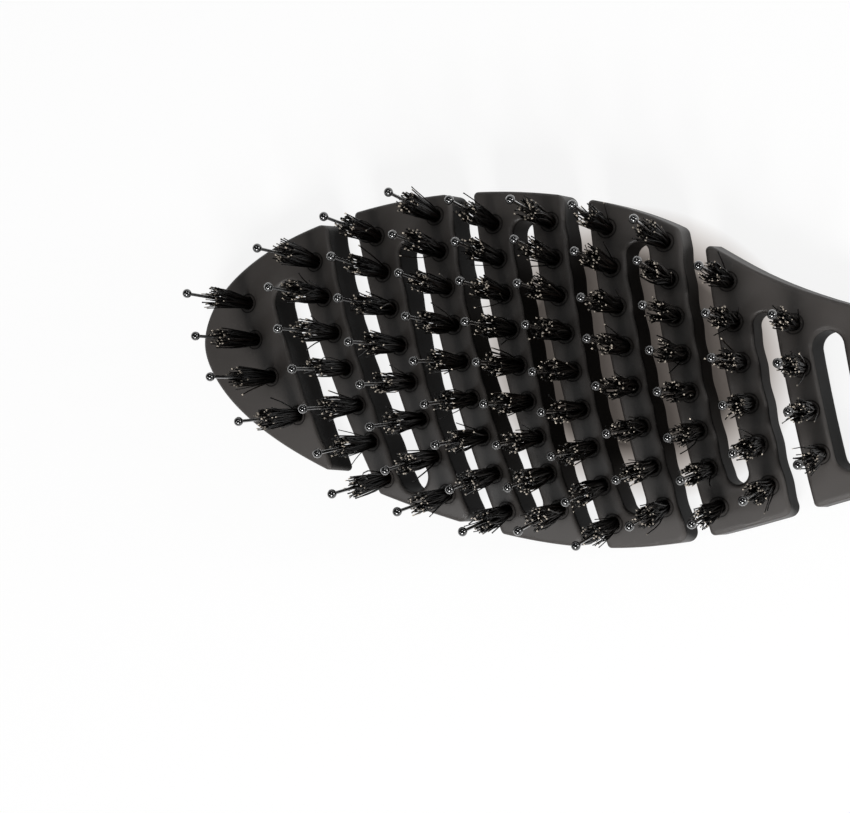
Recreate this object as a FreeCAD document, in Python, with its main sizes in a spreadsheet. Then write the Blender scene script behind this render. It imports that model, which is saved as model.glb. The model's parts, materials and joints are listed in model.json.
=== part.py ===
import FreeCAD, Part
import math
import os
from types import SimpleNamespace

from FreeCAD import Placement, Rotation, Vector

# Vent brush lying on its back: +X from the tip of the head to the end of the grip, +Z out of the bristles.
# The flexible head is one serpentine strip of bars, each joined to the next by a web at alternate ends.

# Driving sizes in millimetres
DRIVING_SIZES = {
    "brush_length": 250.0,
    "head_length": 152.0,
    "neck_lap": 3.5,
    "head_width": 68.0,
    "head_thickness": 8.2,
    "dome_along_radius": 480.0,
    "dome_across_radius": 180.0,
    "crown_place": 78.0,
    "edge_radius": 0.7,
    "slot_width": 4.4,
    "slot_bow": 1.1,
    "scallop_depth": 0.25,
    "web_width": 6.4,
    "split_gap": 0.4,
    "mouth_tip_radius": 2.0,
    "mouth_neck_radius": 0.9,
    "window_length": 25.5,
    "window_drop": 1.8,
    "tuft_pitch": 7.1,
    "row_margin": 5.0,
    "tip_row_bow": 24.0,
    "hole_diameter": 2.6,
    "hole_depth": 4.2,
    "ring_diameter": 4.0,
    "ring_width": 0.25,
    "ring_depth": 0.15,
    "tuft_fit": 0.05,
    "tuft_height": 13.0,
    "tuft_end_diameter": 4.6,
    "pin_length": 20.0,
    "pin_diameter": 0.65,
    "pin_fit": 0.05,
    "ball_diameter": 1.85,
    "staple_length": 2.3,
    "staple_thickness": 0.4,
    "staple_height": 1.2,
    "grip_lip": 0.3,
    "grip_width": 27.2,
    "grip_thickness": 14.0,
    "hang_hole_diameter": 8.0,
    "hang_hole_inset": 14.5,
    "hang_edge_radius": 0.8,
    "overrun": 6.0,
}

# Outline of the head and neck: shares of the head's length from the tip, and of half its width
TOP_EDGE_SHARES = (
    (1.0, 0.4), (0.895, 0.488), (0.789, 0.63), (0.672, 0.862), (0.58, 0.965), (0.474, 1.0),
    (0.329, 0.945), (0.177, 0.757), (0.066, 0.487), (0.0127, 0.22), (0.0, 0.01),
)
BOTTOM_EDGE_SHARES = (
    (0.0, 0.01), (0.0224, -0.217), (0.092, -0.47), (0.224, -0.722), (0.395, -0.915), (0.553, -1.0),
    (0.697, -0.94), (0.826, -0.757), (1.0, -0.46),
)

# Bars from the tip to the neck: places along the head's length, and run along the brush per unit of width
BAR_PLACE_SHARES = (0.111, 0.225, 0.322, 0.4095, 0.4905, 0.565, 0.642, 0.7165, 0.791, 0.8665)
BAR_SLANT_SHARES = (0.54, 0.47, 0.4, 0.36, 0.34, 0.31, 0.305, 0.3, 0.29, 0.285)

# Slots from the tip to the neck: the last is the closed window behind the neck bar
SLOT_WIDTH_SHARES = (1.73, 1.48, 1.15, 1.09, 0.97, 1.07, 1.02, 0.97, 0.95, 1.34)
WEB_WIDTH_SHARES = (1.25, 0.7, 1.3, 0.9, 0.9, 1.05, 1.0, 1.25, 1.25)
WINDOW_PLACE_SHARE = 0.904

# Tuft rows from the tip to the neck: how far their first and last tufts stand in from the head's edge
ROW_TOP_SHARES = (2.68, 1.31, 1.17, 0.8, 1.29, 1.11, 1.0, 0.8, 1.02, 1.44)
ROW_BOTTOM_SHARES = (3.03, 0.85, 1.06, 0.99, 1.38, 0.91, 1.34, 0.93, 1.19, 1.76)
TIP_ROW_PLACE_SHARE = 0.0905

# Grip sections: shares of its length, of its half width and thickness, and of the middle's side and height
GRIP_SECTION_SHARES = (
    (0.12, 0.96, 0.68, -0.03, 0.69),
    (0.28, 0.9, 0.82, 0.0, 0.83),
    (0.49, 0.97, 0.97, 0.0, 0.98),
    (0.68, 1.0, 1.0, 0.0, 1.01),
    (0.86, 0.9, 0.9, 0.0, 0.92),
    (0.945, 0.7, 0.7, 0.0, 0.93),
    (0.983, 0.42, 0.43, 0.0, 0.94),
    (1.0, 0.16, 0.17, 0.0, 0.94),
)
NECK_SQUARENESS_SHARE = 6.0
GRIP_SQUARENESS_SHARES = (3.4, 2.7, 2.4, 2.4, 2.4, 2.3, 2.2, 2.0)
GRIP_SECTION_POINTS = 16
SCALLOP_STEPS = 4

doc = FreeCAD.newDocument("vent_brush")
sheet = doc.addObject("Spreadsheet::Sheet", "sizes")
for row, (alias, value) in enumerate(DRIVING_SIZES.items(), start=1):
    sheet.set(f"A{row}", alias.replace("_", " "))
    sheet.set(f"B{row}", str(value))
    sheet.setAlias(f"B{row}", alias)
doc.recompute()
size = SimpleNamespace(**{alias: float(sheet.get(alias)) for alias in DRIVING_SIZES})

half_width = size.head_width / 2
half_grip = size.grip_width / 2
half_thick = size.grip_thickness / 2
tip_place = -size.brush_length / 2
grip_place = tip_place + size.head_length - size.neck_lap
plan_reach = half_width + size.overrun
neck_bar = len(BAR_SLANT_SHARES) - 1
window = len(SLOT_WIDTH_SHARES)
UP = Vector(0, 0, 1)


# Helpers for the document

def add(kind, name, label=None):
    """Add an object to the document under its own name and label."""
    item = doc.addObject(kind, name)
    item.Label = label or name
    return item


def bind(item, **expressions):
    """Bind properties of an object to the sheet; a double underscore stands for a dot."""
    for path, expression in expressions.items():
        item.setExpression(path.replace("__", "."), expression)
    return item


def combine(kind, name, base, tool, label=None):
    """Add a boolean of two objects."""
    item = add(kind, name, label)
    item.Base = base
    item.Tool = tool
    item.Refine = False
    return item


def keep_shape(name, shape, label=None):
    """Add an object that holds a shape worked out from the sheet."""
    item = add("Part::Feature", name, label)
    item.Shape = shape
    return item


def round_edges(name, base, radii):
    """Add a fillet; radii pairs each edge's number with its radius."""
    item = add("Part::Fillet", name)
    item.Base = base
    item.Edges = [(number, radius, radius) for number, radius in radii]
    return item


# Lines across the head: each runs from side to side with a slant and a slight bow towards the tip

def cross_line(share, slant, bow):
    """A line across the head through a place on the axis, a share of the head's length from the tip."""
    return SimpleNamespace(place=tip_place + share * size.head_length, slant=slant, bow=bow)


def line_point(line, side):
    """Point of a line at a sideways distance from the axis."""
    return Vector(line.place - line.slant * side + line.bow * (side / half_width) ** 2, side, 0)


def line_run(line, side):
    """Direction of a line towards +Y at a sideways distance."""
    return Vector(2 * line.bow * side / half_width ** 2 - line.slant, 1, 0).normalize()


def beside(line, side, offset):
    """Point a square distance from a line, towards the neck where the offset is positive."""
    run = line_run(line, side)
    return line_point(line, side) + Vector(run.y, -run.x, 0) * offset


def bar_line(bar):
    """Line of tufts along a bar; the first follows the round tip."""
    if bar == 0:
        return cross_line(TIP_ROW_PLACE_SHARE, BAR_SLANT_SHARES[bar], size.tip_row_bow)
    return cross_line(BAR_PLACE_SHARES[bar], BAR_SLANT_SHARES[bar], size.slot_bow)


def slot_line(slot):
    """Middle line of a slot, half way between the bars beside it."""
    if slot == window:
        return cross_line(WINDOW_PLACE_SHARE, BAR_SLANT_SHARES[neck_bar], size.slot_bow)
    share = (BAR_PLACE_SHARES[slot - 1] + BAR_PLACE_SHARES[slot]) / 2
    slant = (BAR_SLANT_SHARES[slot - 1] + BAR_SLANT_SHARES[slot]) / 2
    return cross_line(share, slant, size.slot_bow)


def smooth_edge(points, first=None, last=None):
    """Smooth curve through points, along the given directions at its ends."""
    curve = Part.BSplineCurve()
    first = first or (points[1] - points[0]).normalize()
    last = last or (points[-1] - points[-2]).normalize()
    curve.interpolate(Points=points, InitialTangent=first, FinalTangent=last, Scale=False)
    return curve.toShape()


# Plan of the head, drawn flat

def outline_points(shares):
    """Points of the head's edge in the plan."""
    return [
        Vector(tip_place + along * size.head_length, across * half_width, 0)
        for along, across in shares
    ]


top_points = outline_points(TOP_EDGE_SHARES)
bottom_points = outline_points(BOTTOM_EDGE_SHARES)
top_edge = smooth_edge(top_points, last=Vector(0, -1, 0))
bottom_edge = smooth_edge(bottom_points, first=Vector(0, -1, 0))
neck_edge = Part.makeLine(bottom_points[-1], top_points[0])
outline_face = Part.Face(Part.Wire([top_edge, bottom_edge, neck_edge]))


def line_edge(line, offset):
    """Curve along a line, beyond both sides of the head."""
    return smooth_edge([beside(line, side * plan_reach, offset) for side in (-1, 0, 1)])


def web_side(slot):
    """Side of the head where a slot is closed: +1 at the top, -1 at the bottom."""
    return 1 if slot % 2 else -1


def rim_side(line, sign):
    """Sideways distance at which a line crosses the head's edge."""
    rim = top_edge if sign > 0 else bottom_edge
    return line_edge(line, 0).distToShape(rim)[1][0][0].y


def slot_width(slot):
    """Width of a slot."""
    return size.slot_width * SLOT_WIDTH_SHARES[slot - 1]


def slot_wall(line, start, finish, offset, depth):
    """Wall of a slot from its closed end, hollowed a little between the tufts where it has depth."""
    step = math.copysign(size.tuft_pitch / SCALLOP_STEPS, finish - start)
    points = []
    for number in range(math.ceil((finish - start) / step) + 1):
        wave = (1 - math.cos(2 * math.pi * number / SCALLOP_STEPS)) / 2
        points.append(beside(line, start + number * step, offset + math.copysign(depth * wave, offset)))
    return smooth_edge(points, first=line_run(line, start) * math.copysign(1, step))


def closed_end(line, middle, radius, sign):
    """Half round end of a slot."""
    far = line_point(line, middle) + line_run(line, middle) * radius * sign
    return Part.Arc(beside(line, middle, -radius), far, beside(line, middle, radius)).toShape()


def slot_face(slot):
    """Plan of a slot that is closed at one side and runs out of the other."""
    line = slot_line(slot)
    sign = web_side(slot)
    radius = slot_width(slot) / 2
    web = size.web_width * WEB_WIDTH_SHARES[slot - 1]
    rim = rim_side(line, sign)
    middle = rim - sign * (web + radius) * line_run(line, rim).y
    mouth = rim_side(line, -sign) - sign * size.overrun
    tip_wall = slot_wall(line, middle, mouth, -radius, size.scallop_depth)
    neck_wall = slot_wall(line, middle, mouth, radius, 0)
    end = closed_end(line, middle, radius, sign)
    open_end = Part.makeLine(tip_wall.lastVertex().Point, neck_wall.lastVertex().Point)
    return Part.Face(Part.Wire(Part.sortEdges([tip_wall, open_end, neck_wall, end])[0]))


def window_face():
    """Plan of the closed window behind the neck bar."""
    line = slot_line(window)
    radius = slot_width(window) / 2
    reach = size.window_length / 2 - radius
    top = reach - size.window_drop
    bottom = -reach - size.window_drop
    walls = [smooth_edge([beside(line, side, offset) for side in (top, (top + bottom) / 2, bottom)],
                         line_run(line, top) * -1, line_run(line, bottom) * -1)
             for offset in (-radius, radius)]
    ends = [closed_end(line, top, radius, 1), closed_end(line, bottom, radius, -1)]
    return Part.Face(Part.Wire(Part.sortEdges(walls + ends)[0]))


def strip_face(bar):
    """Plan of the strip between the middle lines of the slots beside a bar, less half the split at each."""
    reach = Vector(0, plan_reach, 0)
    if bar == 0:
        far = Vector(tip_place - size.overrun, 0, 0)
        left = Part.makeLine(far - reach, far + reach)
    else:
        left = line_edge(slot_line(bar), size.split_gap / 2)
    if bar == neck_bar:
        far = Vector(tip_place + size.head_length + size.overrun, 0, 0)
        right = Part.makeLine(far - reach, far + reach)
    else:
        right = line_edge(slot_line(bar + 1), -size.split_gap / 2)
    top = Part.makeLine(left.lastVertex().Point, right.lastVertex().Point)
    bottom = Part.makeLine(left.firstVertex().Point, right.firstVertex().Point)
    return Part.Face(Part.Wire(Part.sortEdges([left, top, right, bottom])[0]))


def bar_slots(bar):
    """Slots that shape a bar."""
    return [slot for slot in (bar, bar + 1) if slot > 0]


def bar_plan(bar):
    """Plan of a bar before its slots are cut, with its halves of the webs."""
    return outline_face.common(strip_face(bar)).Faces[0]


# Dome of constant thickness: two nested rings about one axis across the brush

# The ring's axis lies so deep that the back of the tip just rests at height zero
RING_DEPTH = "sqrt((sizes.dome_along_radius - sizes.head_thickness)^2 - sizes.crown_place^2)"


def dome_ring(name, radius):
    """Ring whose outer side is one side of the dome."""
    ring = add("Part::Torus", name)
    ring.Placement = Placement(Vector(), Rotation(Vector(1, 0, 0), 90))
    return bind(
        ring,
        Radius1="sizes.dome_along_radius - sizes.dome_across_radius",
        Radius2=radius,
        Placement__Base__x="sizes.crown_place - sizes.brush_length / 2",
        Placement__Base__z=f"-{RING_DEPTH}",
    )


dome_top = dome_ring("dome_top", "sizes.dome_across_radius")
dome_under = dome_ring("dome_under", "sizes.dome_across_radius - sizes.head_thickness")
dome = combine("Part::Cut", "dome", dome_top, dome_under)
doc.recompute()

ring_centre = dome_top.Placement.Base
ring_radius = size.dome_along_radius - size.dome_across_radius


def dome_seat(point, depth=0):
    """Placement on the dome above a plan point, with Z square to the surface, a depth below it."""
    across = math.sqrt((size.dome_across_radius - depth) ** 2 - point.y ** 2)
    along = point.x - ring_centre.x
    rise = math.sqrt((ring_radius + across) ** 2 - along ** 2)
    spoke = Vector(along, 0, rise).normalize()
    place = Vector(point.x, point.y, ring_centre.z + rise)
    square = place - (ring_centre + spoke * ring_radius)
    return Placement(place, Rotation(UP, square))


def tuft_seats(bar):
    """Placements of a bar's tufts, spread evenly from the top side to the bottom."""
    line = bar_line(bar)
    first = rim_side(line, 1) - ROW_TOP_SHARES[bar] * size.row_margin
    last = rim_side(line, -1) + ROW_BOTTOM_SHARES[bar] * size.row_margin
    steps = math.floor((line_point(line, first) - line_point(line, last)).Length / size.tuft_pitch)
    sides = [first + (last - first) * number / steps for number in range(steps + 1)]
    return [dome_seat(line_point(line, side)) for side in sides]


# One pin, one tuft, one staple and one seat, standing on the surface of a bar

pin_shaft = bind(
    add("Part::Cylinder", "pin_shaft"),
    Radius="sizes.pin_diameter / 2",
    Height="sizes.pin_length + sizes.hole_depth - sizes.staple_height",
    Placement__Base__z="sizes.staple_height - sizes.hole_depth",
)
pin_ball = bind(
    add("Part::Sphere", "pin_ball"),
    Radius="sizes.ball_diameter / 2",
    Placement__Base__z="sizes.pin_length",
)
pin_form = combine("Part::Fuse", "pin_form", pin_shaft, pin_ball)

tuft_root = bind(
    add("Part::Cylinder", "tuft_root"),
    Radius="sizes.hole_diameter / 2 - sizes.tuft_fit",
    Height="sizes.hole_depth - sizes.staple_height",
    Placement__Base__z="sizes.staple_height - sizes.hole_depth",
)
tuft_flare = bind(
    add("Part::Cone", "tuft_flare"),
    Radius1="sizes.hole_diameter / 2 - sizes.tuft_fit",
    Radius2="sizes.tuft_end_diameter / 2",
    Height="sizes.tuft_height",
)
tuft_bore = bind(
    add("Part::Cylinder", "tuft_bore"),
    Radius="sizes.pin_diameter / 2 + sizes.pin_fit",
    Height="sizes.hole_depth + sizes.tuft_height + sizes.overrun",
    Placement__Base__z="-sizes.hole_depth",
)
tuft_body = combine("Part::Fuse", "tuft_body", tuft_root, tuft_flare)
tuft_form = combine("Part::Cut", "tuft_form", tuft_body, tuft_bore)

staple_form = bind(
    add("Part::Box", "staple_form"),
    Length="sizes.staple_length",
    Width="sizes.staple_thickness",
    Height="sizes.staple_height",
    Placement__Base__x="-sizes.staple_length / 2",
    Placement__Base__y="-sizes.staple_thickness / 2",
    Placement__Base__z="-sizes.hole_depth",
)

seat_hole = bind(
    add("Part::Cylinder", "seat_hole"),
    Radius="sizes.hole_diameter / 2",
    Height="sizes.hole_depth + sizes.overrun",
    Placement__Base__z="-sizes.hole_depth",
)
ring_disc = bind(
    add("Part::Cylinder", "ring_disc"),
    Radius="sizes.ring_diameter / 2",
    Height="sizes.ring_depth + sizes.overrun",
    Placement__Base__z="-sizes.ring_depth",
)
ring_core = bind(
    add("Part::Cylinder", "ring_core"),
    Radius="sizes.ring_diameter / 2 - sizes.ring_width",
    Height="sizes.ring_depth + sizes.overrun",
    Placement__Base__z="-sizes.ring_depth",
)
seat_ring = combine("Part::Cut", "seat_ring", ring_disc, ring_core)
doc.recompute()


def set_out(forms, seats):
    """Copies of some forms at each seat, as one group of separate solids."""
    copies = []
    for seat in seats:
        for form in forms:
            copy = form.Shape.copy()
            copy.Placement = seat.multiply(copy.Placement)
            copies.append(copy)
    return Part.makeCompound(copies)


# Bars of the head

def near_split(bar, point):
    """Whether a point lies on one of the split faces of a bar."""
    for slot in (bar, bar + 1):
        if 0 < slot < window:
            line = slot_line(slot)
            away = abs(point.x - line_point(line, point.y).x) * line_run(line, point.y).y
            if away < 2 * size.split_gap:
                return True
    return False


def edge_ends(edge):
    """First, middle and last point of an edge."""
    middle = edge.valueAt((edge.FirstParameter + edge.LastParameter) / 2)
    return [edge.firstVertex().Point, middle, edge.lastVertex().Point]


def edge_number(item, edge):
    """Number of an edge in an object's shape."""
    return next(number for number, other in enumerate(item.Shape.Edges, start=1) if other.isSame(edge))


def mouth_radii(bar, blank):
    """Upright corners at the mouths of the slots: wide on the tip's side of a slot, small on the neck's."""
    radii = []
    line = bar_line(bar)
    for number, edge in enumerate(blank.Shape.Edges, start=1):
        ends = edge_ends(edge)
        upright = abs((ends[2] - ends[0]).normalize().z) > math.cos(math.pi / 8)
        if not upright or near_split(bar, ends[1]):
            continue
        sides = blank.Shape.ancestorsOfType(edge, Part.Face)
        normals = [face.normalAt(*face.Surface.parameter(ends[1])) for face in sides]
        if abs(normals[0].dot(normals[1])) > math.cos(math.pi / 8):
            continue
        if ends[1].x > grip_place:
            continue
        towards_neck = ends[1].x > line_point(line, ends[1].y).x
        radii.append((number, size.mouth_tip_radius if towards_neck else size.mouth_neck_radius))
    return radii


def rim_radii(bar, domed):
    """Edges of the bristle side and the back, but not those of the splits or the hidden end of the neck."""
    radii = []
    for face in domed.Shape.Faces:
        if not isinstance(face.Surface, Part.Toroid):
            continue
        for edge in face.Edges:
            ends = edge_ends(edge)
            if all(near_split(bar, point) for point in ends):
                continue
            if all(abs(point.x - tip_place - size.head_length) < size.split_gap for point in ends):
                continue
            radii.append((edge_number(domed, edge), size.edge_radius))
    return radii


def extrude(name, plan, direction):
    """Add a solid that a plan sweeps along a direction."""
    item = add("Part::Extrusion", name)
    item.Base = plan
    item.DirMode = "Custom"
    item.Dir = direction
    item.Solid = True
    return item


def slot_cutter(name, slot):
    """Slot through the head, square to the dome where its line crosses the axis; the window is upright."""
    seat = dome_seat(line_point(slot_line(slot), 0))
    plan = keep_shape(f"{name}_slot_{slot}_plan", window_face() if slot == window else slot_face(slot))
    plan.Placement = Placement(Vector(0, 0, seat.Base.z), Rotation())
    cutter = extrude(f"{name}_slot_{slot}", plan, UP if slot == window else seat.Rotation.multVec(UP))
    return bind(cutter, LengthFwd="sizes.head_thickness", LengthRev="2 * sizes.head_thickness")


def rounded_bar(bar, name):
    """Domed bar with rounded mouths and edges."""
    plan = keep_shape(f"{name}_plan", bar_plan(bar))
    bind(plan, Placement__Base__z="-sizes.overrun")
    blank = extrude(f"{name}_blank", plan, UP)
    bind(blank, LengthFwd=f"sizes.dome_along_radius - {RING_DEPTH} + 2 * sizes.overrun")
    for slot in bar_slots(bar):
        blank = combine("Part::Cut", f"{name}_slotted_{slot}", blank, slot_cutter(name, slot))
    doc.recompute()
    corners = round_edges(f"{name}_corners", blank, mouth_radii(bar, blank))
    domed = combine("Part::Common", f"{name}_domed", corners, dome)
    doc.recompute()
    rounded = round_edges(f"{name}_rounded", domed, rim_radii(bar, domed))
    doc.recompute()
    return rounded


def seated(name, body, seats):
    """Cut the tuft seats into a bar and give it its node's name."""
    cutters = keep_shape(f"{name}_seats", set_out([seat_hole, seat_ring], seats))
    return combine("Part::Cut", f"{name}_cut", body, cutters, name)


# Grip: smooth sections from the neck to the round end

def grip_section(middle, wide, thick, squareness):
    """Closed section of the grip about its middle, given its half width and half thickness."""
    points = []
    for number in range(GRIP_SECTION_POINTS):
        turn = 2 * math.pi * number / GRIP_SECTION_POINTS
        across = math.copysign(abs(math.cos(turn)) ** (2 / squareness), math.cos(turn))
        upward = math.copysign(abs(math.sin(turn)) ** (2 / squareness), math.sin(turn))
        points.append(middle + Vector(0, wide * across, thick * upward))
    curve = Part.BSplineCurve()
    curve.interpolate(Points=points, PeriodicFlag=True)
    return Part.Wire(curve.toShape())


def neck_section():
    """First section of the grip, standing a lip proud of the neck all round."""
    cut = Part.makeLine(Vector(grip_place, -plan_reach, 0), Vector(grip_place, plan_reach, 0))
    top = cut.distToShape(top_edge)[1][0][0]
    bottom = cut.distToShape(bottom_edge)[1][0][0]
    middle = dome_seat((top + bottom) / 2, size.head_thickness / 2).Base
    sag = middle.z - min(dome_seat(point, size.head_thickness / 2).Base.z for point in (top, bottom))
    wide = (top.y - bottom.y) / 2 + size.grip_lip
    thick = (size.head_thickness + sag) / 2 + size.grip_lip
    return grip_section(middle - UP * (sag / 2), wide, thick, NECK_SQUARENESS_SHARE)


def build_grip():
    """Solid grip lofted through its sections."""
    wires = [neck_section()]
    for shares, squareness in zip(GRIP_SECTION_SHARES, GRIP_SQUARENESS_SHARES):
        along, wide, thick, aside, high = shares
        place = grip_place + along * (size.brush_length / 2 - grip_place)
        middle = Vector(place, aside * half_grip, high * half_thick)
        wires.append(grip_section(middle, wide * half_grip, thick * half_thick, squareness))
    sections = [keep_shape(f"grip_section_{number}", wire) for number, wire in enumerate(wires)]
    grip = add("Part::Loft", "grip")
    grip.Sections = sections
    grip.Solid = True
    grip.Ruled = False
    return grip


def build_handle():
    """Neck bar, neck, grip and hanging hole in one piece."""
    neck = rounded_bar(neck_bar, "neck")
    body = combine("Part::Fuse", "handle_body", neck, build_grip())
    hole = add("Part::Cylinder", "hang_hole")
    hole.Placement = Placement(Vector(), Rotation(UP, 45))
    bind(
        hole,
        Radius="sizes.hang_hole_diameter / 2",
        Height="sizes.grip_thickness + 2 * sizes.overrun",
        Placement__Base__x="sizes.brush_length / 2 - sizes.hang_hole_inset",
        Placement__Base__z="-sizes.overrun",
    )
    holed = combine("Part::Cut", "handle_holed", body, hole)
    doc.recompute()
    rims = []
    for face in holed.Shape.Faces:
        if isinstance(face.Surface, Part.Cylinder) and face.CenterOfMass.x > tip_place + size.head_length:
            rims += [edge for edge in face.Edges if not isinstance(edge.Curve, Part.Line)]
    radii = [(edge_number(holed, edge), size.hang_edge_radius) for edge in rims]
    return round_edges("handle_rounded", holed, radii)


# The assembly

nodes = []
for bar in range(neck_bar + 1):
    suffix = "tip" if bar == 0 else "neck" if bar == neck_bar else f"rib_{bar}"
    name = "handle" if bar == neck_bar else "tip_rib" if bar == 0 else suffix
    body = build_handle() if bar == neck_bar else rounded_bar(bar, name)
    seats = tuft_seats(bar)
    nodes.append(seated(name, body, seats))
    nodes.append(keep_shape(f"pins_{suffix}", set_out([pin_form], seats)))
    nodes.append(keep_shape(f"tufts_{suffix}", set_out([tuft_form], seats)))
    nodes.append(keep_shape(f"staples_{suffix}", set_out([staple_form], seats)))
doc.recompute()

# Hinge lines of the webs, at half the head's thickness
for slot in range(1, window):
    line = slot_line(slot)
    rim = rim_side(line, web_side(slot))
    side = rim - web_side(slot) * size.web_width * WEB_WIDTH_SHARES[slot - 1] / 2
    seat = dome_seat(line_point(line, side), size.head_thickness / 2)
    run = line_run(line, side)
    slope = seat.Rotation.multVec(UP)
    axis = (run - slope * run.dot(slope)).normalize()
    print("hinge", slot, [round(v, 4) for v in seat.Base], [round(v, 6) for v in axis])

# Checks, then one file for each piece
for item in doc.Objects:
    if "Invalid" in item.State or "Error" in item.State:
        raise RuntimeError(f"{item.Label} did not build: {item.State}")
os.makedirs("parts", exist_ok=True)
for item in nodes:
    if item.Shape.isNull() or not item.Shape.isValid():
        raise RuntimeError(f"{item.Label} has no valid shape")
for item in nodes:
    item.Shape.exportStep(os.path.join("parts", f"{item.Label}.step"))
    print(item.Label, len(item.Shape.Solids), round(item.Shape.Volume, 2))
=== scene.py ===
"""Looks of a vent brush: its finishes, bristles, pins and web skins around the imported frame, in metres."""
import json
import logging
import math
import random
from collections import defaultdict
from dataclasses import dataclass, field
from enum import Enum
from typing import Any, Iterable

import bpy
from mathutils import Matrix, Vector

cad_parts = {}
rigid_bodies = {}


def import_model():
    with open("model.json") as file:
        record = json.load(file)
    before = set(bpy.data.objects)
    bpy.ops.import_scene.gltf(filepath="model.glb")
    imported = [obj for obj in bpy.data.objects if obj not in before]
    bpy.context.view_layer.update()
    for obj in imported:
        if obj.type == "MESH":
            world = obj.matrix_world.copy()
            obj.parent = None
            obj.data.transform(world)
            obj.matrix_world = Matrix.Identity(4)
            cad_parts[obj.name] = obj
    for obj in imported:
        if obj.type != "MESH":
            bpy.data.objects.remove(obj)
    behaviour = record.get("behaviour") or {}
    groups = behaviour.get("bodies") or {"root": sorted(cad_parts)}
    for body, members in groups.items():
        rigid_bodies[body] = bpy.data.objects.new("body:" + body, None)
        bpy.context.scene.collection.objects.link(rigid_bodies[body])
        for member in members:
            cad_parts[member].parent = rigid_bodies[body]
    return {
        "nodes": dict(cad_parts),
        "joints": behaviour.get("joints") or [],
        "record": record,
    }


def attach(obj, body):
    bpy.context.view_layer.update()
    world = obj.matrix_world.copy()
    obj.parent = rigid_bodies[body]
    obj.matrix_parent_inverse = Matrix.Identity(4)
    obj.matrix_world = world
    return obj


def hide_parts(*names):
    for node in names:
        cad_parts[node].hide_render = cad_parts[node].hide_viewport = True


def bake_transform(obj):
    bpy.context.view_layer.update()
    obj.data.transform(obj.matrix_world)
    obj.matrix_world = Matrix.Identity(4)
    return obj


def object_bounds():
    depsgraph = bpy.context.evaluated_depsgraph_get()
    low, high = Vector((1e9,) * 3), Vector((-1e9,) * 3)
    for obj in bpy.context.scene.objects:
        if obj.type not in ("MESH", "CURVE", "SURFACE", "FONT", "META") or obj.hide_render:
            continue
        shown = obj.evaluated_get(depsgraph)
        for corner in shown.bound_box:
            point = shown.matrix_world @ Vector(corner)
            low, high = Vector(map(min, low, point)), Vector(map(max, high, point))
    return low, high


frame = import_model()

LOG = logging.getLogger("vent_brush")
CAD_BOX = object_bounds()
MM = 0.001
MERGE_DIGITS = 7
UP = Vector((0.0, 0.0, 1.0))
ACROSS = Vector((0.0, 1.0, 0.0))
Colour = tuple[float, float, float, float]
Place = tuple[float, float, float]
Range = tuple[float, float]
WHITE: Colour = (1.0, 1.0, 1.0, 1.0)
WHOLE: Range = (0.0, 1.0)


class Slot(Enum):
    """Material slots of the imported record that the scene's own pieces take."""

    MOULDING = "moulded_plastic"
    NYLON = "nylon"
    BRISTLE = "bristle"


class Point(Enum):
    """Values that a bristle carries on each of its points."""

    HEIGHT = "bristle_height"
    SHADE = "bristle_shade"


class Mixture(Enum):
    """What a mixing node mixes."""

    COLOUR = "RGBA"
    DIRECTION = "VECTOR"


class Sum(Enum):
    """Sums with values or directions that the finishes use."""

    ABSOLUTE = "ABSOLUTE"
    DOT_PRODUCT = "DOT_PRODUCT"
    LENGTH = "LENGTH"
    MAXIMUM = "MAXIMUM"
    MULTIPLY = "MULTIPLY"
    SUBTRACT = "SUBTRACT"


class Ray(Enum):
    """Kinds of light ray, as the light path names them."""

    CAMERA = "Is Camera Ray"
    GLOSSY = "Is Glossy Ray"
    TRANSMISSION = "Is Transmission Ray"


@dataclass(frozen=True)
class Noise:
    """Soft noise: its waves in a metre, its finer octaves and the share that each octave keeps."""

    scale: float
    detail: float = 2.0
    roughness: float = 0.5


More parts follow.
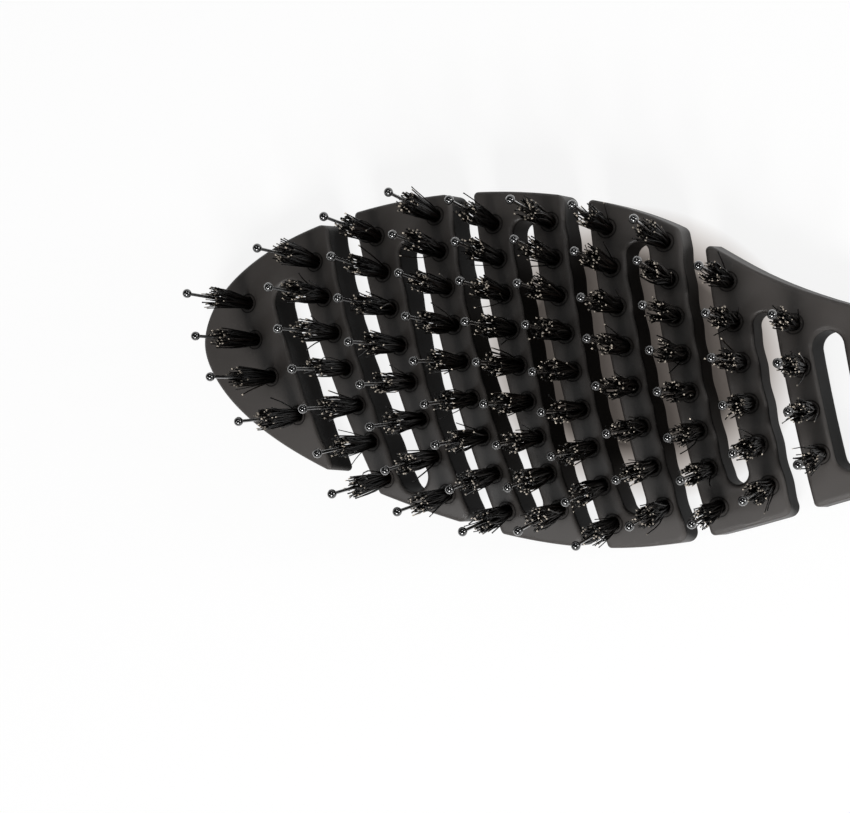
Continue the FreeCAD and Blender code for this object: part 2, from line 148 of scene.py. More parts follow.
@dataclass
class Shader:
    """The node tree of a material or of the world, with short ways to add nodes to it and join them."""

    owner: bpy.types.Material | bpy.types.World

    @classmethod
    def started(cls, owner: bpy.types.Material | bpy.types.World) -> "Shader":
        """Give a material or world an empty node tree.

        Args:
            owner: the new material or world.

        Returns:
            A shader that holds it.
        """
        owner.use_nodes = True
        owner.node_tree.nodes.clear()
        return cls(owner)

    @classmethod
    def named(cls, name: str) -> "Shader":
        """Start a material of this name."""
        return cls.started(bpy.data.materials.new(name))

    def add(self, kind: str, **inputs: object) -> bpy.types.Node:
        """Add a node and set its sockets.

        Args:
            kind: the node's type name.
            inputs: socket names with underscores for blanks; a socket as a value is joined to it.

        Returns:
            The new node.
        """
        node = self.owner.node_tree.nodes.new(kind)
        for name, value in inputs.items():
            self.fill(node.inputs[name.replace("_", " ")], value)
        return node

    def fill(self, socket: bpy.types.NodeSocket, value: object) -> None:
        """Set a socket, or join it to another one.

        Args:
            socket: the socket to fill.
            value: what it takes, a fixed value or a socket.
        """
        if isinstance(value, bpy.types.NodeSocket):
            self.owner.node_tree.links.new(value, socket)
        else:
            socket.default_value = value

    def place(self) -> bpy.types.NodeSocket:
        """Places in the piece's own space, in metres."""
        return self.add("ShaderNodeTexCoord").outputs["Object"]

    def noise(self, noise: Noise) -> bpy.types.NodeSocket:
        """Add soft noise over the piece.

        Args:
            noise: how fine it is.

        Returns:
            The noise's value socket.
        """
        node = self.add(
            "ShaderNodeTexNoise",
            Vector=self.place(),
            Scale=noise.scale,
            Detail=noise.detail,
            Roughness=noise.roughness,
        )
        return node.outputs["Fac"]

    def spread(self, value: bpy.types.NodeSocket, old: Range, new: Range) -> bpy.types.NodeSocket:
        """Map a value from one range to another, clamped.

        Args:
            value: the socket to map.
            old: range of the value.
            new: range of the result.

        Returns:
            The result's socket.
        """
        node = self.add(
            "ShaderNodeMapRange",
            Value=value,
            From_Min=old[0],
            From_Max=old[1],
            To_Min=new[0],
            To_Max=new[1],
        )
        return node.outputs["Result"]

    def mix(self, share: bpy.types.NodeSocket, first: Colour | bpy.types.NodeSocket,
            second: Colour | bpy.types.NodeSocket, kind: Mixture = Mixture.COLOUR) -> bpy.types.NodeSocket:
        """Mix two colours or directions.

        Args:
            share: how much of the second one shows.
            first: the one at no share.
            second: the one at full share.
            kind: what is mixed.

        Returns:
            The mixture's socket.
        """
        node = self.owner.node_tree.nodes.new("ShaderNodeMix")
        node.data_type = kind.value
        self.fill(node.inputs["Factor"], share)
        low, high = [socket for socket in node.inputs if socket.enabled and socket.name in ("A", "B")]
        self.fill(low, first)
        self.fill(high, second)
        return next(socket for socket in node.outputs if socket.enabled)

    def turn(self, operation: Sum, *values: Vector | bpy.types.NodeSocket) -> bpy.types.Node:
        """Reckon with directions.

        Args:
            operation: the sum.
            values: the sockets or fixed directions that it takes.

        Returns:
            The node.
        """
        node = self.add("ShaderNodeVectorMath")
        node.operation = operation.value
        for value, socket in zip(values, node.inputs):
            self.fill(socket, value)
        return node

    def reckon(self, operation: Sum, *values: bpy.types.NodeSocket) -> bpy.types.NodeSocket:
        """Reckon with values.

        Args:
            operation: the sum.
            values: the sockets that it takes.

        Returns:
            The result's socket.
        """
        node = self.add("ShaderNodeMath")
        node.operation = operation.value
        for value, socket in zip(values, node.inputs):
            self.fill(socket, value)
        return node.outputs["Value"]

    def bump(self, height: bpy.types.NodeSocket, strength: float, depth: float,
             normal: bpy.types.NodeSocket | None = None) -> bpy.types.NodeSocket:
        """Turn a height into a bumped normal.

        Args:
            height: the height's socket.
            strength: share of the bump that shows.
            depth: height of the bump in metres.
            normal: the normal to start from, if it isn't the surface's own.

        Returns:
            The normal's socket.
        """
        node = self.add("ShaderNodeBump", Strength=strength, Distance=depth, Height=height)
        if normal is not None:
            self.fill(node.inputs["Normal"], normal)
        return node.outputs["Normal"]

    def finish(self, surface: bpy.types.NodeSocket) -> bpy.types.Material:
        """Join a surface to the output and hand over the material."""
        self.add("ShaderNodeOutputMaterial", Surface=surface)
        return self.owner


@dataclass(frozen=True)
class MouldedPlastic:
    """Dark warm grey plastic with a fine matte texture from the mould, and painted shade in its recesses and
    on its walls.
    """

    name: str = "dark_moulding"
    splits: tuple[tuple[Vector, Vector], ...] = ()
    dark: Colour = (0.043, 0.0378, 0.0346, 1.0)
    pale: Colour = (0.056, 0.0493, 0.0451, 1.0)
    dust: Colour = (0.1, 0.093, 0.087, 1.0)
    # Near-black colour of the painted shade in recesses and on walls.
    painted_recess_shade: Colour = (0.008, 0.0073, 0.0068, 1.0)
    recess: float = 13.0 * MM
    recess_range: Range = (0.36, 0.8)
    wall_range: Range = (0.05, 0.5)
    wall_shade: float = 0.22
    gloss_range: Range = (0.02, 0.45)
    roughness_range: Range = (0.42, 0.5)
    edge_softness: float = 1.1 * MM
    split_band: Range = (1.3 * MM, 1.9 * MM)
    split_reach: Range = (7.5 * MM, 9.0 * MM)
    cloud_noise: Noise = Noise(45.0, 4.0, 0.6)
    cloud_range: Range = (0.35, 0.65)
    dust_noise: Noise = Noise(900.0, 2.0, 0.4)
    dust_range: Range = (0.7, 0.82)
    dust_share: float = 0.35
    grain_noise: Noise = Noise(4200.0, 2.0, 0.6)
    grain_strength: float = 0.35
    grain_depth: float = 0.03 * MM

    def soft_edges(self, shader: Shader) -> bpy.types.NodeSocket:
        """Round the look of the edges, but leave those of the splits flat.

        Args:
            shader: the material's nodes.

        Returns:
            The normal's socket.
        """
        normal = shader.add("ShaderNodeBevel", Radius=self.edge_softness).outputs["Normal"]
        plain = shader.add("ShaderNodeNewGeometry").outputs["Normal"]
        for place, along in self.splits:
            away = shader.turn(Sum.SUBTRACT, shader.place(), place).outputs["Vector"]
            offset = shader.turn(Sum.DOT_PRODUCT, away, along).outputs["Value"]
            beside = shader.spread(shader.reckon(Sum.ABSOLUTE, offset), self.split_band, WHOLE)
            beyond = shader.spread(shader.turn(Sum.LENGTH, away).outputs["Value"], self.split_reach, WHOLE)
            clear = shader.reckon(Sum.MAXIMUM, beside, beyond)
            normal = shader.mix(clear, plain, normal, Mixture.DIRECTION)
        return normal

    def open_share(self, shader: Shader) -> bpy.types.NodeSocket:
        """Tell how open to the room each spot lies, with walls taken as less open; the plastic paints shade
        by it.

        Args:
            shader: the material's nodes.

        Returns:
            The share's socket.
        """
        normal = shader.add("ShaderNodeNewGeometry").outputs["Normal"]
        facing = shader.add("ShaderNodeSeparateXYZ", Vector=normal).outputs["Z"]
        # Painted shade: walls that face sideways count as less open, so they come out darker.
        walls = shader.spread(facing, self.wall_range, (self.wall_shade, 0.0))
        sky_share = shader.add("ShaderNodeAmbientOcclusion", Distance=self.recess).outputs["AO"]
        return shader.reckon(Sum.SUBTRACT, sky_share, walls)

    def material(self) -> bpy.types.Material:
        """Make the material.

        Returns:
            The plastic, with soft clouds of tone, faint dust and a fine grain, and painted shade in its
            recesses and on its walls.
        """
        shader = Shader.named(self.name)
        clouds = shader.spread(shader.noise(self.cloud_noise), self.cloud_range, WHOLE)
        specks = shader.spread(shader.noise(self.dust_noise), self.dust_range, (0.0, self.dust_share))
        colour = shader.mix(specks, shader.mix(clouds, self.dark, self.pale), self.dust)
        grain = shader.noise(self.grain_noise)
        open_share = self.open_share(shader)
        # Painted shade: the colour turns near-black where ambient occlusion finds the spot hidden.
        lit = shader.spread(open_share, self.recess_range, WHOLE)
        edges = self.soft_edges(shader) if self.splits else None
        body = shader.add(
            "ShaderNodeBsdfPrincipled",
            Base_Color=shader.mix(lit, self.painted_recess_shade, colour),
            Roughness=shader.spread(clouds, WHOLE, self.roughness_range),
            # Painted shade: less reflection in recesses and on walls.
            Specular_IOR_Level=shader.spread(open_share, self.recess_range, self.gloss_range),
            Normal=shader.bump(grain, self.grain_strength, self.grain_depth, edges),
        )
        return shader.finish(body.outputs["BSDF"])


@dataclass(frozen=True)
class Nylon:
    """Glossy black nylon of the ball pins."""

    name: str = "black_nylon"
    dark: Colour = (0.0015, 0.0015, 0.0018, 1.0)
    pale: Colour = (0.005, 0.0048, 0.0052, 1.0)
    flow_noise: Noise = Noise(700.0)
    flow_range: Range = (0.3, 0.7)
    flow_strength: float = 0.2
    flow_depth: float = 0.012 * MM
    roughness_range: Range = (0.05, 0.1)
    refraction: float = 1.53
    coat: float = 1.0
    coat_roughness: float = 0.03
    coat_refraction: float = 1.7

    def material(self) -> bpy.types.Material:
        """Make the material.

        Returns:
            The nylon, with slight flow marks under a clear gloss.
        """
        shader = Shader.named(self.name)
        flow = shader.noise(self.flow_noise)
        body = shader.add(
            "ShaderNodeBsdfPrincipled",
            Base_Color=shader.mix(flow, self.dark, self.pale),
            Roughness=shader.spread(flow, self.flow_range, self.roughness_range),
            IOR=self.refraction,
            Coat_Weight=self.coat,
            Coat_Roughness=self.coat_roughness,
            Coat_IOR=self.coat_refraction,
            Normal=shader.bump(flow, self.flow_strength, self.flow_depth),
        )
        return shader.finish(body.outputs["BSDF"])


@dataclass(frozen=True)
class Bristle:
    """Dark natural bristle with paler cut ends, partly painted highlight, and painted shade at the root."""

    name: str = "natural_bristle"
    dark: Colour = (0.0018, 0.0015, 0.0014, 1.0)
    brown: Colour = (0.0085, 0.005, 0.0036, 1.0)
    # Pale end colour: partly the bristles' own paler tips, partly a painted highlight.
    end: Colour = (0.72, 0.64, 0.54, 1.0)
    shade_range: Range = (0.55, 1.0)
    cut_range: Range = (0.968, 0.99)
    root_range: Range = (0.3, 0.75)
    gloss_range: Range = (0.05, 0.25)
    mark_noise: Noise = Noise(9000.0)
    mark_range: Range = (0.3, 0.7)
    mark_strength: float = 0.25
    mark_depth: float = 0.01 * MM
    roughness_range: Range = (0.3, 0.45)

    def material(self) -> bpy.types.Material:
        """Make the material.

        Returns:
            The bristle: each has its own tone of brown and painted shade at its root;
            some have a pale cut end, which is partly painted highlight.
        """
        shader = Shader.named(self.name)
        height = shader.add("ShaderNodeAttribute")
        height.attribute_name = Point.HEIGHT.value
        shade = shader.add("ShaderNodeAttribute")
        shade.attribute_name = Point.SHADE.value
        paleness = shader.spread(shade.outputs["Fac"], self.shade_range, WHOLE)
        stem = shader.mix(paleness, self.dark, self.brown)
        # Painted highlight, in part: pale cut ends stand for ends that catch the light.
        cut = shader.spread(height.outputs["Fac"], self.cut_range, WHOLE)
        ends = shader.reckon(Sum.MULTIPLY, cut, paleness)
        marks = shader.noise(self.mark_noise)
        body = shader.add(
            "ShaderNodeBsdfPrincipled",
            Base_Color=shader.mix(ends, stem, self.end),
            Roughness=shader.spread(marks, self.mark_range, self.roughness_range),
            # Painted shade: less reflection towards the root, where the tuft lies in shade.
            Specular_IOR_Level=shader.spread(height.outputs["Fac"], self.root_range, self.gloss_range),
            Normal=shader.bump(marks, self.mark_strength, self.mark_depth),
        )
        return shader.finish(body.outputs["BSDF"])


@dataclass(frozen=True)
class DrawnWire:
    """Plain drawn wire of the staples."""

    name: str = "drawn_wire"
    dark: Colour = (0.34, 0.33, 0.32, 1.0)
    pale: Colour = (0.56, 0.55, 0.53, 1.0)
    draw_noise: Noise = Noise(2600.0, 4.0, 0.7)
    draw_range: Range = (0.3, 0.7)
    roughness_range: Range = (0.28, 0.45)

    def material(self) -> bpy.types.Material:
        """Make the material.

        Returns:
            The wire, with streaks from drawing.
        """
        shader = Shader.named(self.name)
        streaks = shader.noise(self.draw_noise)
        body = shader.add(
            "ShaderNodeBsdfPrincipled",
            Base_Color=shader.mix(streaks, self.dark, self.pale),
            Metallic=1.0,
            Roughness=shader.spread(streaks, self.draw_range, self.roughness_range),
        )
        return shader.finish(body.outputs["BSDF"])


@dataclass(frozen=True)
class PaleFloor:
    """White floor that keeps the brush's shadow, with a painted warm grey shadow below the head, and shows
    white where no shadow falls.
    """

    name: str = "pale_floor"
    # Tint of the painted shadow below the head.
    warm: Colour = (1.0, 0.87, 0.78, 1.0)
    lit: Colour = (0.13, 0.13, 0.13, 1.0)
    shaded: Colour = (0.12, 0.105, 0.095, 1.0)
    # The painted shadow: an oval below the head where the floor's glow fades.
    dim_middle: Place = (-33.0 * MM, 4.0 * MM, 0.0)
    dim_reach: Place = (37.0 * MM, 30.0 * MM, 1.0)
    dim_turn: float = math.radians(-6.0)
    dim_range: Range = (0.6, 0.97)
    glow_range: Range = (0.07, 0.87)

    def material(self) -> bpy.types.Material:
        """Make the material.

        Returns:
            The floor: a lit sheet whose own light is weak below the middle of the head, a painted shadow.
        """
        shader = Shader.named(self.name)
        # Painted shadow: an oval below the middle of the head, where the glow fades to warm grey.
        oval = shader.add(
            "ShaderNodeMapping",
            Vector=shader.place(),
            Location=self.dim_middle,
            Rotation=(0.0, 0.0, self.dim_turn),
            Scale=self.dim_reach,
        )
        oval.vector_type = "TEXTURE"
        far = shader.turn(Sum.LENGTH, oval.outputs["Vector"]).outputs["Value"]
        clear = shader.spread(far, self.dim_range, WHOLE)
        soft = shader.add("ShaderNodeBsdfDiffuse", Color=shader.mix(clear, self.shaded, self.lit))
        path = shader.add("ShaderNodeLightPath")
        seen = path.outputs[Ray.CAMERA.value]
        for ray in (Ray.GLOSSY, Ray.TRANSMISSION):
            seen = shader.reckon(Sum.MAXIMUM, seen, path.outputs[ray.value])
        glow = shader.add(
            "ShaderNodeEmission",
            Color=shader.mix(clear, self.warm, WHITE),
            Strength=shader.reckon(Sum.MULTIPLY, seen, shader.spread(clear, WHOLE, self.glow_range)),
        )
        both = shader.add("ShaderNodeAddShader")
        shader.fill(both.inputs[0], soft.outputs["BSDF"])
        shader.fill(both.inputs[1], glow.outputs["Emission"])
        return shader.finish(both.outputs["Shader"])


@dataclass
class Draft:
    """Points, faces and point values of a mesh in the making."""

    points: list[Vector] = field(default_factory=list)
    faces: list[tuple[int, ...]] = field(default_factory=list)
    values: dict[Point, list[float]] = field(default_factory=lambda: defaultdict(list))

    def add_tube(self, rings: list[list[Vector]], values: dict[Point, list[float]] | None = None) -> None:
        """Add a closed tube through rings of points.

        Args:
            rings: the rings from the first end to the last, each with as many points.
            values: for each kind of value, one number a ring.
        """
        start = len(self.points)
        sides = len(rings[0])
        for number, ring in enumerate(rings):
            self.points.extend(ring)
            for kind, numbers in (values or {}).items():
                self.values[kind].extend([numbers[number]] * sides)
        for number in range(len(rings) - 1):
            low = start + number * sides
            for side in range(sides):
                following = (side + 1) % sides
                high = low + sides
                self.faces.append((low + side, low + following, high + following, high + side))
        self.faces.append(tuple(start + side for side in reversed(range(sides))))
        last = start + (len(rings) - 1) * sides
        self.faces.append(tuple(last + side for side in range(sides)))

    def build(self, name: str, finish: bpy.types.Material, crease: float) -> bpy.types.Object:
        """Make an object of the draft.

        Args:
            name: the piece's name.
            finish: its material.
            crease: edges sharper than this angle in degrees stay sharp.

        Returns:
            The new object, linked to the scene.
        """
        mesh = bpy.data.meshes.new(name)
        mesh.from_pydata(self.points, [], self.faces)
        for kind, numbers in self.values.items():
            mesh.attributes.new(kind.value, "FLOAT", "POINT").data.foreach_set("value", numbers)
        mesh.validate()
        mesh.shade_smooth()
        mesh.set_sharp_from_angle(angle=math.radians(crease))
        mesh.materials.append(finish)
        piece = bpy.data.objects.new(name, mesh)
        bpy.context.scene.collection.objects.link(piece)
        return piece


def merged_faces(node: str) -> tuple[list[Vector], list[tuple[int, ...]]]:
    """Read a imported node's mesh with its coincident points made one.

    Args:
        node: the node's name.

    Returns:
        The points, and each face's point numbers.
    """
    mesh = frame["nodes"][node].data
    points: list[Vector] = []
    numbers: dict[tuple[float, ...], int] = {}
    same: list[int] = []
    for vertex in mesh.vertices:
        key = tuple(round(value, MERGE_DIGITS) for value in vertex.co)
        if key not in numbers:
            numbers[key] = len(points)
            points.append(vertex.co.copy())
        same.append(numbers[key])
    return points, [tuple(same[number] for number in polygon.vertices) for polygon in mesh.polygons]


def leader_of(leaders: list[int], number: int) -> int:
    """Find the point that stands for a point's solid, and shorten the way to it.

    Args:
        leaders: for each point, another point of its solid or itself.
        number: the point.

    Returns:
        The number of the point that leads the solid.
    """
    while leaders[number] != number:
        leaders[number] = leaders[leaders[number]]
        number = leaders[number]
    return number


def solids_of(node: str) -> list[list[Vector]]:
    """Split a node's mesh into its separate solids.

    Args:
        node: the node's name.

    Returns:
        The points of each solid.
    """
    points, faces = merged_faces(node)
    leaders = list(range(len(points)))
    for face in faces:
        for number in face[1:]:
            leaders[leader_of(leaders, number)] = leader_of(leaders, face[0])
    groups: dict[int, list[Vector]] = defaultdict(list)
    for number, point in enumerate(points):
        groups[leader_of(leaders, number)].append(point)
    return list(groups.values())


def middle_of(points: Iterable[Vector]) -> Vector:
    """Middle of the box around some points."""
    corners = list(zip(*points))
    return Vector([(min(values) + max(values)) / 2 for values in corners])


@dataclass(frozen=True)
class Seat:
    """Where a tuft stands on its bar, and the way it points."""

    place: Vector
    axis: Vector
    side: Vector

    def point(self, along: float, across: float, height: float) -> Vector:
        """Point beside the tuft's axis at a height above the bar."""
        return self.place + self.side * along + self.axis.cross(self.side) * across + self.axis * height

    def ring(self, middle: Vector, radius: float, sides: int) -> list[Vector]:
        """Ring of points square to the axis.

        Args:
            middle: its middle, as distances along, across and up from the seat.
            radius: its radius.
            sides: how many points it has.

        Returns:
            The points in order.
        """
        turns = [2 * math.pi * number / sides for number in range(sides)]
        return [
            self.point(middle.x + radius * math.cos(turn), middle.y + radius * math.sin(turn), middle.z)
            for turn in turns
        ]


@dataclass
class TuftRow:
    """One bar's row of tufts: where they stand, and the body that carries them."""

    name: str
    body: str
    root_depth: float = 3.0 * MM
    end_band: float = 0.3 * MM
    ball_band: float = 1.8 * MM

    def seats(self) -> list[Seat]:
        """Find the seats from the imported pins.

        Returns:
            One seat for each tuft of the row.
        """
        found = []
        for points in solids_of(f"pins_{self.name}"):
            lowest = min(points, key=lambda point: point.z)
            highest = max(points, key=lambda point: point.z)
            rough = (highest - lowest).normalized()
            ball_start = (highest - lowest).dot(rough) - self.ball_band
            heights = [(point - lowest).dot(rough) for point in points]
            foot = middle_of(point for point, height in zip(points, heights) if height < self.end_band)
            ball = middle_of(point for point, height in zip(points, heights) if height > ball_start)
            axis = (ball - foot).normalized()
            side = axis.cross(ACROSS).normalized()
            found.append(Seat(foot + axis * self.root_depth, axis, side))
        return sorted(found, key=lambda seat: -seat.place.y)


@dataclass
class BallPins:
    """The nylon pins of a row, each a tapered shaft with a ball at its end."""

    row: TuftRow
    length: float = 20.0 * MM
    shaft_radius: float = 0.325 * MM
    foot_radius: float = 0.37 * MM
    taper_share: float = 0.5
    ring_shares: tuple[float, ...] = (0.15, 0.4, 0.7, 0.9)
    neck_length: float = 0.5 * MM
    neck_swell: float = 1.1
    ball_radius: float = 0.925 * MM
    ball_end: float = math.pi / 2 - 0.08
    lean: float = 0.5 * MM
    least_lean: float = 0.2
    lean_power: float = 1.6
    sides: int = 18
    ball_steps: int = 11
    crease: float = 40.0
    seed: int = 11

    def profile(self) -> list[tuple[float, float]]:
        """Outline of a pin.

        Returns:
            Pairs of height above the bar and radius, from the foot to the top of the ball.
        """
        ball_start = math.asin((self.shaft_radius * self.neck_swell) / self.ball_radius) - math.pi / 2
        neck = self.length + self.ball_radius * math.sin(ball_start) - self.neck_length
        outline = [(-self.row.root_depth, self.foot_radius), (0.0, self.foot_radius)]
        for share in self.ring_shares:
            taper = min(1.0, share / self.taper_share)
            outline.append((share * neck, self.foot_radius + (self.shaft_radius - self.foot_radius) * taper))
        outline.append((neck, self.shaft_radius))
        for step in range(self.ball_steps):
            turn = ball_start + (self.ball_end - ball_start) * step / (self.ball_steps - 1)
            height = self.length + self.ball_radius * math.sin(turn)
            outline.append((height, self.ball_radius * math.cos(turn)))
        return outline

    def build(self, finish: bpy.types.Material) -> bpy.types.Object:
        """Make the row's pins as one piece.

        Args:
            finish: the nylon.

        Returns:
            The piece, riding on the row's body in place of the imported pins.
        """
        draft = Draft()
        chance = random.Random(f"{self.seed} {self.row.name}")
        for seat in self.row.seats():
            turn = chance.uniform(0, 2 * math.pi)
            bend = self.lean * chance.uniform(self.least_lean, 1.0)
            rings = []
            for height, radius in self.profile():
                aside = max(0.0, height / self.length) ** self.lean_power * bend
                middle = Vector((aside * math.cos(turn), aside * math.sin(turn), height))
                rings.append(seat.ring(middle, radius, self.sides))
            draft.add_tube(rings)
        piece = draft.build(f"ball_pins_{self.row.name}", finish, self.crease)
        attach(piece, self.row.body)
        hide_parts(f"pins_{self.row.name}")
        return piece


@dataclass
class BristleTufts:
    """The bristles of a row: each tuft is a bundle that spreads from its hole."""

    row: TuftRow
    count: int = 70
    root_radius: float = 1.1 * MM
    end_radius: float = 2.4 * MM
    end_spread: Range = (0.78, 1.1)
    middle_share: float = 0.12
    flare_power: float = 0.85
    height: float = 12.4 * MM
    uneven: float = 1.3 * MM
    depth: float = 2.5 * MM
    thickness: float = 0.15 * MM
    thick_spread: Range = (0.75, 1.2)
    taper: float = 0.25
    cut_share: float = 0.965
    end_bulb: float = 1.3
    drift: float = 0.4
    curl: float = 0.5 * MM
    strays: int = 2
    stray_reach: Range = (1.1, 1.7)
    stray_height: Range = (0.72, 1.0)
    sides: int = 6
    steps: int = 6
    pin_clearance: float = 0.45 * MM
    crease: float = 60.0
    seed: int = 72

    def bristle(self, seat: Seat, chance: random.Random, draft: Draft, stray: bool) -> None:
        """Add one bristle.

        Args:
            seat: the tuft's seat.
            chance: the row's seeded random numbers.
            draft: the mesh that takes it.
            stray: whether it leans out of the bundle.
        """
        turn = chance.uniform(0, 2 * math.pi)
        share = math.sqrt(chance.uniform(self.middle_share, 1.0))
        start = max(self.pin_clearance, share * self.root_radius)
        finish = share * self.end_radius * chance.uniform(*self.end_spread)
        tall = self.height + chance.gauss(0.0, self.uneven / 2) - share * self.uneven / 2
        if stray:
            finish = self.end_radius * chance.uniform(*self.stray_reach)
            tall = self.height * chance.uniform(*self.stray_height)
        drift = chance.gauss(0.0, self.drift)
        thick = self.thickness * chance.uniform(*self.thick_spread)
        curl = chance.gauss(0.0, self.curl)
        shade = chance.random()
        rings = []
        heights = []
        for step in range(self.steps + 1):
            along = 1.0 if step == self.steps else step / (self.steps - 1) * self.cut_share
            rise = along * (tall + self.depth) - self.depth
            free = max(0.0, rise / tall)
            reach = start + (finish - start) * free ** self.flare_power
            angle = turn + drift * free
            sway = curl * math.sin(math.pi * free)
            middle = Vector((
                reach * math.cos(angle) - sway * math.sin(angle),
                reach * math.sin(angle) + sway * math.cos(angle),
                rise,
            ))
            swell = self.end_bulb if step == self.steps else 1.0
            rings.append(seat.ring(middle, thick * swell * (1.0 - self.taper * along), self.sides))
            heights.append(along)
        draft.add_tube(rings, {Point.HEIGHT: heights, Point.SHADE: [shade] * len(rings)})

    def build(self, finish: bpy.types.Material) -> bpy.types.Object:
        """Make the row's tufts as one piece.

        Args:
            finish: the bristle.

        Returns:
            The piece, riding on the row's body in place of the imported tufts.
        """
        draft = Draft()
        chance = random.Random(f"{self.seed} {self.row.name}")
        for seat in self.row.seats():
            for number in range(self.count):
                self.bristle(seat, chance, draft, number < self.strays)
        piece = draft.build(f"bristles_{self.row.name}", finish, self.crease)
        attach(piece, self.row.body)
        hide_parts(f"tufts_{self.row.name}")
        return piece


@dataclass
class WebSkin:
    """The skin of one web, which closes the split between two bars."""

    joint: dict[str, Any]
    split: float = 0.4 * MM
    slack: float = 0.17 * MM
    flatness: float = 0.998
    reach: float = 9.0 * MM
    samples: int = 144
    steps: int = 4
    crease: float = 50.0

    @property
    def place(self) -> Vector:
        """Point on the hinge line, in the middle of the web."""
        return Vector(self.joint["pos_m"])

    @property
    def across(self) -> Vector:
        """Direction along the hinge line."""
        return Vector(self.joint["axis"]).normalized()

    @property
    def along(self) -> Vector:
        """Level direction square to the split, towards the neck."""
        return self.across.cross(UP).normalized()

    def split_rim(self, node: str, offset: float) -> list[tuple[Vector, Vector]]:
        """Find the edges around a bar's split face.

        Args:
            node: the bar.
            offset: how far the face lies from the hinge line towards the neck.

        Returns:
            The two ends of each edge.
        """
        points, faces = merged_faces(node)
        edges: dict[frozenset[int], tuple[int, int]] = {}
        twice: set[frozenset[int]] = set()
        for face in faces:
            corners = [points[number] for number in face]
            if (corners[0] - self.place).length > self.reach:
                continue
            if any(abs((corner - self.place).dot(self.along) - offset) > self.slack for corner in corners):
                continue
            square = (corners[1] - corners[0]).cross(corners[2] - corners[0])
            if abs(square.normalized().dot(self.along)) < self.flatness:
                continue
            for first, second in zip(face, face[1:] + face[:1]):
                key = frozenset((first, second))
                if key in edges:
                    twice.add(key)
                edges[key] = (first, second)
        return [(points[a], points[b]) for key, (a, b) in edges.items() if key not in twice]

    def split_loop(self, node: str, offset: float) -> list[Vector]:
        """Outline of a bar's split face, at even turns about its middle.

        Args:
            node: the bar.
            offset: how far the face lies from the hinge line towards the neck.

        Returns:
            Points around the outline.
        """
        rim = self.split_rim(node, offset)
        upward = self.along.cross(self.across)
        centre = middle_of(point for pair in rim for point in pair)
        loop = []
        for number in range(self.samples):
            turn = 2 * math.pi * number / self.samples
            ray = self.across * math.cos(turn) + upward * math.sin(turn)
            beside = self.across * -math.sin(turn) + upward * math.cos(turn)
            best: tuple[float, Vector] | None = None
            for first, second in rim:
                one, two = (first - centre).dot(beside), (second - centre).dot(beside)
                if one * two > 0 or one == two:
                    continue
                hit = first.lerp(second, one / (one - two))
                far = (hit - centre).dot(ray)
                if far > 0 and (best is None or far > best[0]):
                    best = (far, hit)
            if best is None:
                raise RuntimeError(f"{node} has no whole split face at {self.joint['name']}")
            loop.append(best[1])
        return loop

    def build(self, finish: bpy.types.Material) -> bpy.types.Object:
        """Make the skin between the two split faces.

        Args:
            finish: the plastic of the bars.

        Returns:
            The piece, between the two bodies.
        """
        near, far = self.joint["child"], self.joint["parent"]
        first = self.split_loop(near, 0.0)
        last = self.split_loop(far, self.split)
        rings = [
            [one.lerp(two, step / self.steps) for one, two in zip(first, last)]
            for step in range(self.steps + 1)
        ]
        draft = Draft()
        draft.add_tube(rings)
        piece = draft.build(f"web_{self.joint['name']}", finish, self.crease)
        self.place
        self.place + self.along * self.split
        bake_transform(piece)
        return piece


@dataclass
class Moulding:
    """The moulded handle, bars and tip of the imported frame, with the webs that join them."""

    webs: list[WebSkin]

    def bars(self) -> list[str]:
        """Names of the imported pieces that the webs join."""
        joined = {web.joint[end] for web in self.webs for end in ("child", "parent")}
        return [name for name in frame["nodes"] if name in joined]

    def dress(self) -> None:
        """Give every piece of the moulding its plastic, with soft edges where it isn't split."""
        for name in self.bars():
            splits = tuple(
                (web.place + web.along * web.split / 2, web.along)
                for web in self.webs if name in (web.joint["child"], web.joint["parent"])
            )
            dress_node(name, MouldedPlastic(f"dark_moulding_{name}", splits).material())

    def close(self) -> None:
        """Close the splits with skins of the same plastic."""
        finish = MouldedPlastic().material()
        for web in self.webs:
            LOG.info("built %s", web.build(finish).name)


def dress_node(name: str, finish: bpy.types.Material) -> None:
    """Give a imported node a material.

    Args:
        name: the node.
        finish: its material.
    """
    mesh = frame["nodes"][name].data
    mesh.materials.clear()
    mesh.materials.append(finish)
    LOG.info("%s wears %s", name, finish.name)


def tuft_rows() -> list[TuftRow]:
    """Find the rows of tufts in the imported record.

    Returns:
        One row for each body that carries pins.
    """
    rows = []
    for body, members in frame["record"]["behaviour"]["bodies"].items():
        rows += [TuftRow(node.removeprefix("pins_"), body) for node in members if node.startswith("pins_")]
    return rows


@dataclass(frozen=True)
class SoftBox:
    """One rectangular studio lamp."""

    name: str
    place: Place
    wide: float
    high: float
    power: float
    highlights_only: bool = False
    target: Place = (-0.05, 0.0, 0.0)

    def build(self) -> bpy.types.Object:
        """Hang the lamp.

        Returns:
            The lamp, pointing at its target.
        """
        lamp = bpy.data.lights.new(self.name, "AREA")
        lamp.shape = "RECTANGLE"
        lamp.size = self.wide
        lamp.size_y = self.high
        lamp.energy = self.power
        hung = bpy.data.objects.new(self.name, lamp)
        hung.location = self.place
        hung.visible_diffuse = not self.highlights_only
        hung.rotation_euler = (Vector(self.target) - Vector(self.place)).to_track_quat("-Z", "Y").to_euler()
        bpy.context.scene.collection.objects.link(hung)
        return hung


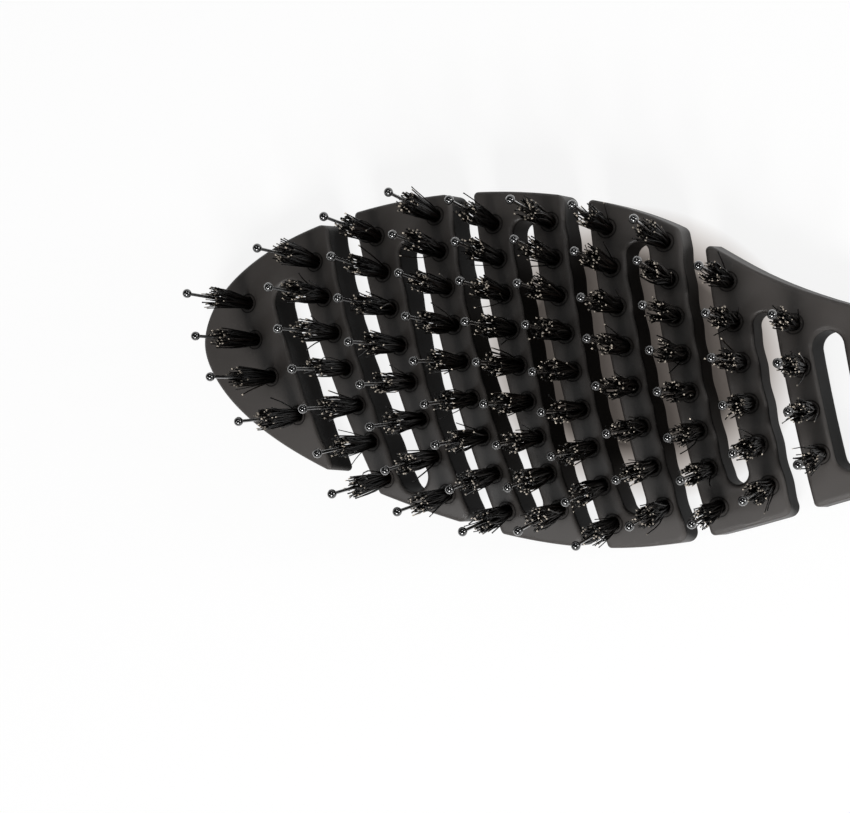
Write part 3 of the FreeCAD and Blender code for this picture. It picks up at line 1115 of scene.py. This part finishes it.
@dataclass(frozen=True)
class Studio:
    """Floor, soft light and the camera at the photograph's viewing angle."""

    floor_size: float = 6.0
    world_light: float = 0.3
    ceiling_light: float = 0.08
    ceiling_edge: float = 0.35
    camera_place: Place = (0.16774, 0.00538, 0.50888)
    camera_target: Place = (-0.07058, -0.00942, 0.01339)
    camera_up: Place = (-0.0766, 0.9970, 0.0071)
    lens: float = 117.67
    sensor: float = 36.0
    lamps: tuple[SoftBox, ...] = (
        SoftBox("key_box", (0.2, -0.8, 0.8), 0.5, 0.36, 11.5),
        SoftBox("neck_box", (0.95, 0.15, 0.3), 0.12, 0.4, 3.6),
        SoftBox("side_box", (-0.5, -0.35, 0.9), 0.16, 0.16, 2.2, highlights_only=True),
        SoftBox("rear_box", (0.2, 0.6, 0.9), 0.14, 0.14, 1.8, highlights_only=True),
    )

    def build_floor(self) -> bpy.types.Object:
        """Lay the floor.

        Returns:
            The floor.
        """
        half = self.floor_size / 2
        mesh = bpy.data.meshes.new("floor")
        corners = [(-half, -half, 0.0), (half, -half, 0.0), (half, half, 0.0), (-half, half, 0.0)]
        mesh.from_pydata(corners, [], [(0, 1, 2, 3)])
        mesh.materials.append(PaleFloor().material())
        floor = bpy.data.objects.new("floor", mesh)
        floor.location.z = CAD_BOX[0].z
        bpy.context.scene.collection.objects.link(floor)
        return floor

    def build_world(self) -> None:
        """Fill the room with even light, which looks white, and mirrors a dim ceiling above white walls."""
        world = bpy.data.worlds.new("studio")
        bpy.context.scene.world = world
        shader = Shader.started(world)
        path = shader.add("ShaderNodeLightPath")
        glossy = path.outputs[Ray.GLOSSY.value]
        direction = shader.add("ShaderNodeTexCoord").outputs["Generated"]
        height = shader.add("ShaderNodeSeparateXYZ", Vector=direction).outputs["Z"]
        ceiling = shader.spread(height, (0.0, self.ceiling_edge), (1.0, self.ceiling_light))
        level = shader.reckon(Sum.MULTIPLY, glossy, ceiling)
        for ray in (Ray.CAMERA, Ray.TRANSMISSION):
            level = shader.reckon(Sum.MAXIMUM, level, path.outputs[ray.value])
        plain = shader.spread(glossy, WHOLE, (self.world_light, 0.0))
        strength = shader.reckon(Sum.MAXIMUM, level, plain)
        sky = shader.add("ShaderNodeBackground", Color=WHITE, Strength=strength)
        shader.add("ShaderNodeOutputWorld", Surface=sky.outputs["Background"])

    def build_camera(self) -> bpy.types.Object:
        """Set the camera where the photograph was taken from.

        Returns:
            The scene's camera.
        """
        data = bpy.data.cameras.new("camera")
        data.lens = self.lens
        data.sensor_width = self.sensor
        data.sensor_fit = "HORIZONTAL"
        data.dof.use_dof = False
        camera = bpy.data.objects.new("camera", data)
        back = (Vector(self.camera_place) - Vector(self.camera_target)).normalized()
        right = Vector(self.camera_up).cross(back).normalized()
        turned = Matrix((right, back.cross(right), back)).transposed().to_4x4()
        camera.matrix_world = Matrix.Translation(self.camera_place) @ turned
        bpy.context.scene.collection.objects.link(camera)
        bpy.context.scene.camera = camera
        return camera

    def build(self) -> None:
        """Set up the whole studio."""
        bpy.context.scene.view_settings.view_transform = "Standard"
        self.build_floor()
        self.build_world()
        self.build_camera()
        for lamp in self.lamps:
            lamp.build()


def main() -> None:
    """Dress the brush piece by piece."""
    logging.basicConfig(level=logging.INFO, format="%(name)s: %(message)s")
    Studio().build()
    moulding = Moulding([WebSkin(joint) for joint in frame["joints"]])
    moulding.dress()
    moulding.close()
    nylon = Nylon().material()
    bristle = Bristle().material()
    wire = DrawnWire().material()
    for row in tuft_rows():
        LOG.info("built %s", BallPins(row).build(nylon).name)
        LOG.info("built %s", BristleTufts(row).build(bristle).name)
        dress_node(f"staples_{row.name}", wire)


if __name__ == "__main__":
    main()
